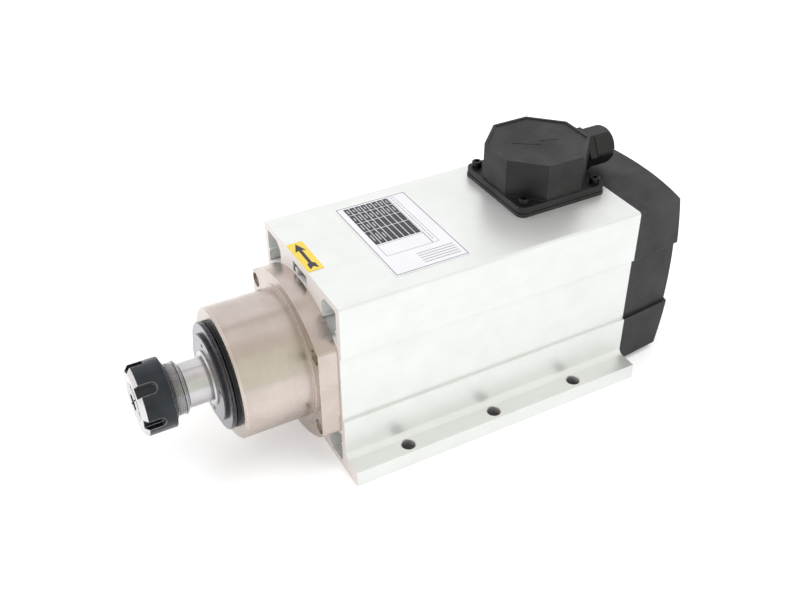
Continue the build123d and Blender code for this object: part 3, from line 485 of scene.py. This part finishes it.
# The same black oxide on the collet nut, whose front was ground afterwards and shows bare steel; its edges
# and slot ends get a painted highlight.
NUT_BLACK_OXIDE = EndMachinedFinish(
    "black_oxide_nut_steel", "#3A3E43", "#2B2E33", metallic=0.75, roughness=0.3, spread=0.05,
    grain=Grain.TURNED, grain_mm=0.3, depth_mm=0.006, edge_mm=0.5, edge_wear_and_highlight="#C9CACE",
    end_color="#DEDCDE", end_roughness=0.24, end_least=0.4, ahead_only=True)
# Zinc-plated screws, yellow passivated: pale brassy silver.
ZINC_PLATE = Finish(
    "zinc_plated_steel", "#D6D0BC", "#B9B29C", metallic=1.0, roughness=0.3, spread=0.06,
    grain_mm=0.25, depth_mm=0.01, edge_mm=0.2)
# Oiled black-oxide screws, their edges lighter, partly worn and partly a painted highlight.
BLACK_SCREW = Finish(
    "black_screw_steel", "#202124", "#151618", metallic=0.6, roughness=0.33, spread=0.06,
    grain_mm=0.3, depth_mm=0.012, edge_mm=0.2, edge_wear_and_highlight="#5B5C60")
# Silicon steel sheets, punched and stacked 0.5 mm thick: dull grey with the edge of every sheet showing.
LAMINATION = Finish(
    "stacked_silicon_steel", "#6E7073", "#4C4D50", metallic=1.0, roughness=0.5, spread=0.08,
    grain=Grain.LAID, grain_mm=0.5, depth_mm=0.05, edge_mm=0.1)
# Enamelled copper wire, varnished: reddish brown with a wet gloss; the wires are drawn 0.9 mm wide.
ENAMELLED_COPPER = Finish(
    "enamelled_copper_wire", "#A4512A", "#6E2F18", metallic=0.35, roughness=0.3, spread=0.08,
    grain=Grain.TURNED, grain_mm=0.9, depth_mm=0.25, edge_mm=0.4)
# Die-cast aluminium, as cast: soft grey with a pebbled skin.
CAST_ALUMINIUM = EndMachinedFinish(
    "die_cast_aluminium", "#B9B9BA", "#A2A2A4", metallic=1.0, roughness=0.48, spread=0.07,
    grain_mm=0.7, depth_mm=0.04, edge_mm=0.5, end_color="#C9C9CA", end_roughness=0.33)
# Blued spring steel: dark straw to blue.
SPRING_STEEL = Finish(
    "blued_spring_steel", "#4B4A55", "#3A3540", metallic=1.0, roughness=0.3, spread=0.08,
    grain_mm=0.3, depth_mm=0.01, edge_mm=0.15)
# Glass-filled ABS moulded against a spark-eroded tool: charcoal, matt, with a fine pebble. The real pebble
# is about 0.1 mm and is drawn 0.9 mm wide so that it shows.
# Its edges get a painted highlight.
BLACK_ABS = Finish(
    "spark_textured_black_abs", "#1F1D20", "#060708", roughness=0.52, spread=0.06,
    grain_mm=0.9, depth_mm=0.16, edge_mm=0.3, edge_wear_and_highlight="#5C5A5E", ior=1.53)
# Fan of plain black nylon.
FAN_NYLON = Finish(
    "black_fan_nylon", "#2B2B2D", "#222224", roughness=0.45, spread=0.05, grain_mm=0.6, depth_mm=0.02,
    edge_mm=0.4, ior=1.53)
# Nylon 66 of a cable gland, moulded in a smooth tool: a touch glossier and cooler than the box, its edges
# lighter, partly worn and partly a painted highlight.
GLAND_NYLON = Finish(
    "smooth_black_nylon", "#0B0C0E", "#060708", roughness=0.5, spread=0.05, grain_mm=0.5, depth_mm=0.012,
    edge_mm=0.35, edge_wear_and_highlight="#33373A", ior=1.53)
# Nitrile rubber: deep black and matt.
NITRILE_RUBBER = Finish(
    "nitrile_rubber", "#151516", "#0F0F10", roughness=0.72, spread=0.05, grain_mm=0.4, depth_mm=0.02,
    edge_mm=0.3, ior=1.52)
# Silicone-sleeved leads: brick red with a soft sheen.
SILICONE_SLEEVE = Finish(
    "silicone_lead_sleeve", "#8E2B21", "#74211A", roughness=0.5, spread=0.05, grain_mm=0.4, depth_mm=0.02,
    edge_mm=0.2, ior=1.43)
# White polyester terminal block.
WHITE_POLYESTER = Finish(
    "white_polyester", "#DDD9CE", "#D0CBBF", roughness=0.42, spread=0.05, grain_mm=0.6, depth_mm=0.01,
    edge_mm=0.4, ior=1.55)
# Turned brass.
BRASS = Finish(
    "turned_brass", "#D9B566", "#BE9648", metallic=1.0, roughness=0.26, spread=0.05, grain_mm=0.2,
    depth_mm=0.006, edge_mm=0.15)
# Printed polyester foil with a silver-white ground.
PLATE_FOIL = Finish(
    "silver_polyester_foil", "#F2F1F4", "#EBEBEF", metallic=0.15, roughness=0.34, spread=0.04,
    grain=Grain.DRAWN, grain_mm=0.4, depth_mm=0.004, edge_mm=0.1, ior=1.64)
# Yellow vinyl film.
YELLOW_VINYL = Finish(
    "yellow_vinyl_film", "#F3D75B", "#EDCE4E", roughness=0.4, spread=0.05, grain_mm=0.5, depth_mm=0.006,
    edge_mm=0.1, ior=1.53)
# Screen-printed ink, near black with a violet cast.
SCREEN_INK = Finish(
    "screen_print_ink", "#413E47", "#37343C", roughness=0.5, spread=0.04, grain_mm=0.3, depth_mm=0.004,
    edge_mm=0.05)
# The pale grey of the thin print.
GREY_INK = Finish(
    "grey_print_ink", "#9A9CA6", "#8E909A", roughness=0.5, spread=0.04, grain_mm=0.3, depth_mm=0.004,
    edge_mm=0.05)
# The unprinted foil that shows through the dark cells.
PALE_INK = Finish(
    "pale_print_ink", "#C9CACF", "#BFC0C6", roughness=0.45, spread=0.04, grain_mm=0.3, depth_mm=0.004,
    edge_mm=0.05)


@dataclass
class Wardrobe:
    """The materials, each made once."""

    made: dict[str, bpy.types.Material] = field(default_factory=dict)

    def material(self, finish: Finish) -> bpy.types.Material:
        """Finds the material of a finish, or makes it at its first use.

        Args:
            finish: the finish.

        Returns:
            The one material that all its pieces share.
        """
        if finish.name not in self.made:
            self.made[finish.name] = finish.build()
        return self.made[finish.name]

    def dress(self, node: str, finish: Finish) -> None:
        """Gives a CAD node its finish.

        Args:
            node: the CAD node's name.
            finish: the finish for all its faces.
        """
        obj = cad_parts[node]
        obj.data.materials.clear()
        obj.data.materials.append(self.material(finish))
        LOG.info("%s: %s", node, finish.name)


def block_mesh(name: str, blocks: Iterable[tuple[Vector, Vector]]) -> bpy.types.Object:
    """Makes one object of separate thin blocks.

    Args:
        name: the object's name.
        blocks: the lowest and highest corner of each block, in metres.

    Returns:
        The new object, in the scene.
    """
    verts: list[tuple[float, float, float]] = []
    faces: list[tuple[int, ...]] = []
    sides = ((0, 2, 3, 1), (4, 5, 7, 6), (0, 1, 5, 4), (2, 6, 7, 3), (0, 4, 6, 2), (1, 3, 7, 5))
    for low, high in blocks:
        first = len(verts)
        verts += [(x, y, z) for z in (low.z, high.z) for y in (low.y, high.y) for x in (low.x, high.x)]
        faces += [tuple(first + i for i in side) for side in sides]
    mesh = bpy.data.meshes.new(name)
    mesh.from_pydata(verts, [], faces)
    mesh.validate()
    obj = bpy.data.objects.new(name, mesh)
    bpy.context.scene.collection.objects.link(obj)
    return obj


@dataclass
class MotorHousing:
    """The aluminium body, the bearing housing on its front and the screws that join them."""

    wardrobe: Wardrobe

    def build(self) -> None:
        """Dresses the body, the housing and their screws."""
        self.wardrobe.dress("motor_body", BLASTED_ALUMINIUM)
        self.wardrobe.dress("bearing_housing", TURNED_NICKEL)
        self.wardrobe.dress("flange_screws", ZINC_PLATE)
        self.wardrobe.dress("front_bearing_cap", BLACK_OXIDE)


@dataclass
class SpindleNose:
    """All that turns at the front: the shaft, the discs on it, the collet and its nut."""

    wardrobe: Wardrobe

    def build(self) -> None:
        """Dresses the turning pieces of the nose."""
        self.wardrobe.dress("spindle_shaft", GROUND_STEEL)
        self.wardrobe.dress("front_dust_disc", POLISHED_STEEL)
        self.wardrobe.dress("front_ring_nut", POLISHED_STEEL)
        self.wardrobe.dress("collet", GROUND_STEEL)
        self.wardrobe.dress("collet_nut", NUT_BLACK_OXIDE)
        self.wardrobe.dress("extractor_ring", BLACK_OXIDE)


@dataclass
class MotorInside:
    """Bearings, stator, rotor, fan and springs."""

    wardrobe: Wardrobe

    def build(self) -> None:
        """Dresses what the casings hide."""
        for bearing in ("front_bearing_a", "front_bearing_b", "rear_bearing"):
            for piece in ("inner", "outer", "balls"):
                self.wardrobe.dress(f"{bearing}_{piece}", BEARING_STEEL)
        self.wardrobe.dress("stator_core", LAMINATION)
        self.wardrobe.dress("stator_winding", ENAMELLED_COPPER)
        self.wardrobe.dress("rotor_core", LAMINATION)
        self.wardrobe.dress("rotor_end_rings", CAST_ALUMINIUM)
        self.wardrobe.dress("wave_spring", SPRING_STEEL)
        self.wardrobe.dress("fan_circlip", SPRING_STEEL)
        self.wardrobe.dress("cooling_fan", FAN_NYLON)
        self.wardrobe.dress("rear_shield", CAST_ALUMINIUM)
        self.wardrobe.dress("shield_screws", ZINC_PLATE)


@dataclass
class RearCover:
    """The plastic fan cover and its screws."""

    wardrobe: Wardrobe

    def build(self) -> None:
        """Dresses the cover."""
        self.wardrobe.dress("fan_cover", BLACK_ABS)
        self.wardrobe.dress("cover_screws", BLACK_SCREW)


@dataclass
class ConnectionBox:
    """The box on top, its cable gland and what is wired inside."""

    wardrobe: Wardrobe

    def build(self) -> None:
        """Dresses the box, the gland and the terminals."""
        for node in ("box_base", "box_cover"):
            self.wardrobe.dress(node, BLACK_ABS)
        self.wardrobe.dress("box_gasket", NITRILE_RUBBER)
        self.wardrobe.dress("box_screws", BLACK_SCREW)
        for node in ("gland_body", "gland_locknut", "gland_nut"):
            self.wardrobe.dress(node, GLAND_NYLON)
        self.wardrobe.dress("gland_seal", NITRILE_RUBBER)
        self.wardrobe.dress("terminal_block", WHITE_POLYESTER)
        self.wardrobe.dress("terminal_screws", BRASS)
        self.wardrobe.dress("earth_screw", BRASS)
        self.wardrobe.dress("motor_leads", SILICONE_SLEEVE)


@dataclass
class NamePlate:
    """The plain ruled plate and the arrow plate on the top face. All sizes are in millimetres.

    The plate's print is drawn from its own front left corner: u runs across the body and v runs back.

    Attributes:
        wardrobe: the materials.
        ink: the thickness of one layer of print.
        border_inset: how far inside the plate its border runs.
        border_line: the width of the border.
        column_edges: u of the table's left edge and of the right edge of each column.
        rows_start: v of the first row.
        row_pitch: from one row to the next.
        row_count: the number of rows.
        cell_gap: the pale line between two cells.
        dash_width: the depth of a dash along v.
        dash_shares: how much of its cell each dash in turn is long.
        dashed_columns: how many columns have a dash in every cell.
        dashed_rows: how many rows have a dash in every cell.
        side_frame: the width of the empty frame beside the table.
        frame_line: the width of the frames' lines.
        strip_depth: the depth of the narrow frame behind the table.
        tick: the length of a tick.
        tick_gap: the gap between two ticks.
        rules_start: u and v of the first ruled line.
        rules_length: how long the ruled lines are.
        rules_pitch: from one ruled line to the next.
        rules_line: the width of a ruled line and of a tick.
        rules_count: the number of ruled lines.
    """

    wardrobe: Wardrobe
    ink: float = 0.04
    border_inset: float = 0.9
    border_line: float = 0.4
    column_edges: tuple[float, ...] = (2.6, 10.7, 21.0, 31.4, 47.0)
    rows_start: float = 5.0
    row_pitch: float = 3.8
    row_count: int = 8
    cell_gap: float = 0.5
    dash_width: float = 0.7
    dash_shares: tuple[float, ...] = (0.5, 0.36, 0.58, 0.44)
    dashed_columns: int = 2
    dashed_rows: int = 3
    side_frame: float = 13.0
    frame_line: float = 0.3
    strip_depth: float = 4.2
    tick: float = 1.5
    tick_gap: float = 0.7
    rules_start: tuple[float, float] = (65.5, 21.0)
    rules_length: float = 24.0
    rules_pitch: float = 2.4
    rules_line: float = 0.55
    rules_count: int = 5

    def build(self) -> None:
        """Dresses both plates and prints the ruled one."""
        self.wardrobe.dress("name_plate", PLATE_FOIL)
        self.wardrobe.dress("arrow_plate", YELLOW_VINYL)
        self.wardrobe.dress("direction_arrow", SCREEN_INK)
        low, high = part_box("name_plate")
        border = self.ring(0, 0, (high.x - low.x) / MM, (high.y - low.y) / MM, self.border_inset,
                           self.border_line)
        self.print_layer("plate_border", border, 1, SCREEN_INK)
        self.print_layer("plate_cells", self.cells(), 1, SCREEN_INK)
        self.print_layer("plate_dashes", self.dashes(), 2, PALE_INK)
        self.print_layer("plate_frames", self.frames(), 1, GREY_INK)
        self.print_layer("plate_rules", self.ticks() + self.rules(), 1, GREY_INK)

    def ring(self, u: float, v: float, width: float, depth: float, inset: float, line: float) -> list[Strip]:
        """Draws a frame of four lines.

        Args:
            u: the area's left edge.
            v: its front edge.
            width: its width.
            depth: its depth.
            inset: how far inside that area the frame runs.
            line: the width of its lines.

        Returns:
            Four strips.
        """
        u, v, width, depth = u + inset, v + inset, width - 2 * inset, depth - 2 * inset
        return [(u, v, width, line), (u, v + depth - line, width, line),
                (u, v + line, line, depth - 2 * line), (u + width - line, v + line, line, depth - 2 * line)]

    def cell_places(self) -> list[tuple[int, int, float, float, float]]:
        """Finds the cells of the table.

        Returns:
            Column, row, u, v and width of every cell.
        """
        return [(column, row, left, self.rows_start + row * self.row_pitch, right - left - self.cell_gap)
                for column, (left, right) in enumerate(zip(self.column_edges, self.column_edges[1:]))
                for row in range(self.row_count)]

    def cells(self) -> list[Strip]:
        """Draws the dark cells of the table."""
        return [(u, v, width, self.row_pitch - self.cell_gap) for _, _, u, v, width in self.cell_places()]

    def dashes(self) -> list[Strip]:
        """Draws a plain pale dash in each cell of the first columns and rows.

        Returns:
            One strip for each dash.
        """
        in_v = (self.row_pitch - self.cell_gap - self.dash_width) / 2
        strips = []
        for column, row, u, v, width in self.cell_places():
            if column < self.dashed_columns or row < self.dashed_rows:
                length = width * self.dash_shares[(column + row) % len(self.dash_shares)]
                strips.append((u + (width - length) / 2, v + in_v, length, self.dash_width))
        return strips

    def frames(self) -> list[Strip]:
        """Draws the empty frame beside the table and the narrow one behind both.

        Returns:
            Eight strips.
        """
        left, right = self.column_edges[0], self.column_edges[-1] + self.side_frame
        depth = self.row_count * self.row_pitch
        beside = self.ring(right - self.side_frame + self.cell_gap, self.rows_start,
                           self.side_frame - self.cell_gap, depth, 0, self.frame_line)
        behind = self.ring(left, self.rows_start + depth, right - left, self.strip_depth, 0, self.frame_line)
        return beside + behind

    def ticks(self) -> list[Strip]:
        """Draws a row of plain ticks along the middle of the narrow frame.

        Returns:
            One strip for each tick.
        """
        left, right = self.column_edges[0] + self.tick, self.column_edges[-1] + self.side_frame - self.tick
        v = self.rows_start + self.row_count * self.row_pitch + (self.strip_depth - self.rules_line) / 2
        count = int((right - left) / (self.tick + self.tick_gap))
        return [(left + step * (self.tick + self.tick_gap), v, self.tick, self.rules_line)
                for step in range(count)]

    def rules(self) -> list[Strip]:
        """Draws a few plain ruled lines in the right rear corner.

        Returns:
            One strip for each line.
        """
        u, v = self.rules_start
        return [(u + step * self.rules_pitch, v, self.rules_line, self.rules_length)
                for step in range(self.rules_count)]

    def print_layer(self, name: str, strips: list[Strip], layer: int, finish: Finish) -> None:
        """Prints strips of ink on the plate.

        Args:
            name: the object's name.
            strips: (u, v, width, depth) of each strip.
            layer: 1 lies on the plate, 2 on the first layer.
            finish: the ink.
        """
        low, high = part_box("name_plate")
        bottom = high.z + (layer - 1) * self.ink * MM
        blocks = []
        for u, v, width, depth in strips:
            corner = Vector((low.x + u * MM, low.y + v * MM, bottom))
            blocks.append((corner, corner + Vector((width * MM, depth * MM, self.ink * MM))))
        obj = block_mesh(name, blocks)
        obj.data.materials.append(self.wardrobe.material(finish))
        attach(obj, "motor")
        LOG.info("%s: %d strips", name, len(blocks))


@dataclass
class Studio:
    """The pale floor, the soft light and the camera at the photograph's angle.

    Attributes:
        floor_reach: half the side of the floor, in metres.
        floor_color: the colour of the floor and the backdrop as sRGB hex.
        floor_glow: the light that the floor gives off where it is seen.
        mirror_dimming: how much weaker that is in a mirrored floor.
        world_strength: the strength of the even light from all round.
        studio_tones: the tones that metal mirrors, as an angle in degrees and an sRGB hex colour each. The
            angle goes from the +X side of the room (0) over the top (90) to the -X side (180).
        key_place: where the front lamp hangs, in metres.
        key_power: its power, in watts.
        fill_place: where the upper lamp hangs, in metres.
        fill_power: its power, in watts.
        lamp_size: the side of both softboxes, in metres.
        camera_place: where the camera stands, in millimetres.
        azimuth: the camera's angle from the front towards the right, in degrees.
        elevation: its height angle, in degrees.
        roll: its tilt about its own line of sight, in degrees.
        lens_mm: the focal length.
        sensor_mm: the width of the sensor.
    """

    floor_reach: float = 6.0
    floor_color: str = "#FFFFFF"
    floor_glow: float = 0.25
    mirror_dimming: float = 0.15
    world_strength: float = 0.72
    studio_tones: tuple[tuple[float, str], ...] = (
        (0, "#F6FBEE"), (45, "#F0F4E6"), (56, "#E8E3DC"), (72, "#EAE4DE"), (84, "#F8F5F3"), (102, "#F2EFED"),
        (111, "#D6D0CB"), (120, "#FFFFFF"), (180, "#FFFFFF"))
    key_place: tuple[float, float, float] = (-0.55, -0.75, 1.15)
    key_power: float = 4.5
    fill_place: tuple[float, float, float] = (0.5, 0.25, 1.6)
    fill_power: float = 8.0
    lamp_size: float = 0.9
    camera_place: tuple[float, float, float] = (436.742, -270.900, 436.515)
    azimuth: float = 61.539
    elevation: float = 36.37
    roll: float = -0.225
    lens_mm: float = 44.833
    sensor_mm: float = 36.0

    def build(self) -> None:
        """Sets the stage, from the floor to the colour settings."""
        self.floor()
        self.world()
        self.lamp("key_softbox", self.key_place, self.key_power)
        self.lamp("side_softbox", self.fill_place, self.fill_power)
        self.camera()
        bpy.context.scene.view_settings.view_transform = "Standard"

    def floor(self) -> None:
        """Lays a floor that looks white, a little less so in metal, and still takes the object's shadow."""
        reach = self.floor_reach
        mesh = bpy.data.meshes.new("floor")
        mesh.from_pydata([(-reach, -reach, 0), (reach, -reach, 0), (reach, reach, 0), (-reach, reach, 0)],
                         [], [(0, 1, 2, 3)])
        floor = bpy.data.objects.new("floor", mesh)
        bpy.context.scene.collection.objects.link(floor)
        material = bpy.data.materials.new("white_floor")
        material.use_nodes = True
        tree = material.node_tree
        tree.nodes.clear()
        seen = self.seen(tree)
        paint = add_node(tree, "ShaderNodeBsdfDiffuse", {"Color": linear(self.floor_color)})
        full = add_node(tree, "ShaderNodeMath", {0: seen, 1: self.floor_glow}, operation="MULTIPLY")
        mirrored = add_node(tree, "ShaderNodeLightPath").outputs["Is Glossy Ray"]
        strength = add_node(tree, "ShaderNodeMath", {
            0: mirrored, 1: -self.mirror_dimming, 2: full}, operation="MULTIPLY_ADD")
        glow = add_node(tree, "ShaderNodeEmission", {"Color": linear(self.floor_color), "Strength": strength})
        mix = add_node(tree, "ShaderNodeAddShader", {0: paint, 1: glow})
        add_node(tree, "ShaderNodeOutputMaterial", {"Surface": mix.outputs["Shader"]})
        mesh.materials.append(material)

    def seen(self, tree: bpy.types.NodeTree) -> bpy.types.NodeSocket:
        """Tells what the camera sees from what only lights the object.

        Args:
            tree: the node tree of the floor or the world.

        Returns:
            1 for what is seen, straight on or in metal or through glass, and 0 for light.
        """
        path = add_node(tree, "ShaderNodeLightPath")
        first = add_node(tree, "ShaderNodeMath", {
            0: path.outputs["Is Camera Ray"], 1: path.outputs["Is Glossy Ray"]}, operation="MAXIMUM")
        return add_node(tree, "ShaderNodeMath", {
            0: first.outputs[0], 1: path.outputs["Is Transmission Ray"]}, operation="MAXIMUM").outputs[0]

    def world(self) -> None:
        """Gives a white backdrop and a plain even light."""
        world = bpy.data.worlds.new("studio")
        bpy.context.scene.world = world
        world.use_nodes = True
        tree = world.node_tree
        tree.nodes.clear()
        strength = add_node(tree, "ShaderNodeMix", {
            "Factor": self.seen(tree), "A": self.world_strength, "B": 1.0}, data_type="FLOAT")
        back = add_node(tree, "ShaderNodeBackground", {"Color": self.backdrop(tree), "Strength": strength})
        add_node(tree, "ShaderNodeOutputWorld", {"Surface": back.outputs["Background"]})

    def backdrop(self, tree: bpy.types.NodeTree) -> bpy.types.NodeSocket:
        """Draws the studio round the table as metal mirrors it: pale walls and darker strips overhead.

        Args:
            tree: the world's node tree.

        Returns:
            White for every ray that isn't a reflection, and the studio's tones for a reflection.
        """
        way = add_node(tree, "ShaderNodeSeparateXYZ", {
            "Vector": add_node(tree, "ShaderNodeTexCoord").outputs["Generated"]})
        angle = add_node(tree, "ShaderNodeMath", {
            0: way.outputs["Z"], 1: way.outputs["X"]}, operation="ARCTAN2")
        share = add_node(tree, "ShaderNodeMath", {0: angle, 1: math.pi}, operation="DIVIDE")
        ramp = add_node(tree, "ShaderNodeValToRGB", {"Fac": share})
        ramp.color_ramp.interpolation = "EASE"
        stops = ramp.color_ramp.elements
        while len(stops) < len(self.studio_tones):
            stops.new(1.0)
        for stop, (degrees, tone) in zip(stops, self.studio_tones):
            stop.position = degrees / 180
            stop.color = linear(tone)
        mirrored = add_node(tree, "ShaderNodeLightPath").outputs["Is Glossy Ray"]
        mix = add_node(tree, "ShaderNodeMix", {
            "Factor": mirrored, "A": linear(self.floor_color), "B": ramp.outputs["Color"]}, data_type="RGBA")
        return port(mix.outputs, "Result")

    def lamp(self, name: str, place: tuple[float, float, float], power: float) -> None:
        """Hangs one square softbox that looks at the object.

        Args:
            name: the lamp's name.
            place: where it hangs, in metres.
            power: its power, in watts.
        """
        light = bpy.data.lights.new(name, "AREA")
        light.shape = "SQUARE"
        light.size = self.lamp_size
        light.energy = power
        lamp = bpy.data.objects.new(name, light)
        lamp.location = place
        aim = Vector((0, 0, AXIS_HEIGHT)) - lamp.location
        lamp.rotation_euler = aim.to_track_quat("-Z", "Y").to_euler()
        lamp.visible_glossy = False
        bpy.context.scene.collection.objects.link(lamp)

    def camera(self) -> None:
        """Stands the camera where the photograph was taken from."""
        data = bpy.data.cameras.new("camera")
        data.sensor_fit = "HORIZONTAL"
        data.sensor_width = self.sensor_mm
        data.lens = self.lens_mm
        turn, rise, roll = (math.radians(angle) for angle in (self.azimuth, self.elevation, self.roll))
        back = Vector((math.sin(turn) * math.cos(rise), -math.cos(turn) * math.cos(rise), math.sin(rise)))
        right = (-back).cross(Vector((0, 0, 1))).normalized()
        up = right.cross(-back)
        across = right * math.cos(roll) + up * math.sin(roll)
        upward = up * math.cos(roll) - right * math.sin(roll)
        camera = bpy.data.objects.new("camera", data)
        place = Vector(self.camera_place) * MM
        turned = Matrix((across, upward, back)).transposed().to_4x4()
        camera.matrix_world = Matrix.Translation(place) @ turned
        bpy.context.scene.collection.objects.link(camera)
        bpy.context.scene.camera = camera


def main() -> None:
    """Builds every sub-assembly in order and then the studio."""
    logging.basicConfig(level=logging.INFO, format="%(name)s %(message)s")
    wardrobe = Wardrobe()
    for assembly in (MotorHousing(wardrobe), SpindleNose(wardrobe), MotorInside(wardrobe),
                     RearCover(wardrobe), ConnectionBox(wardrobe), NamePlate(wardrobe), Studio()):
        LOG.info("building %s", type(assembly).__name__)
        assembly.build()


if __name__ == "__main__":
    main()
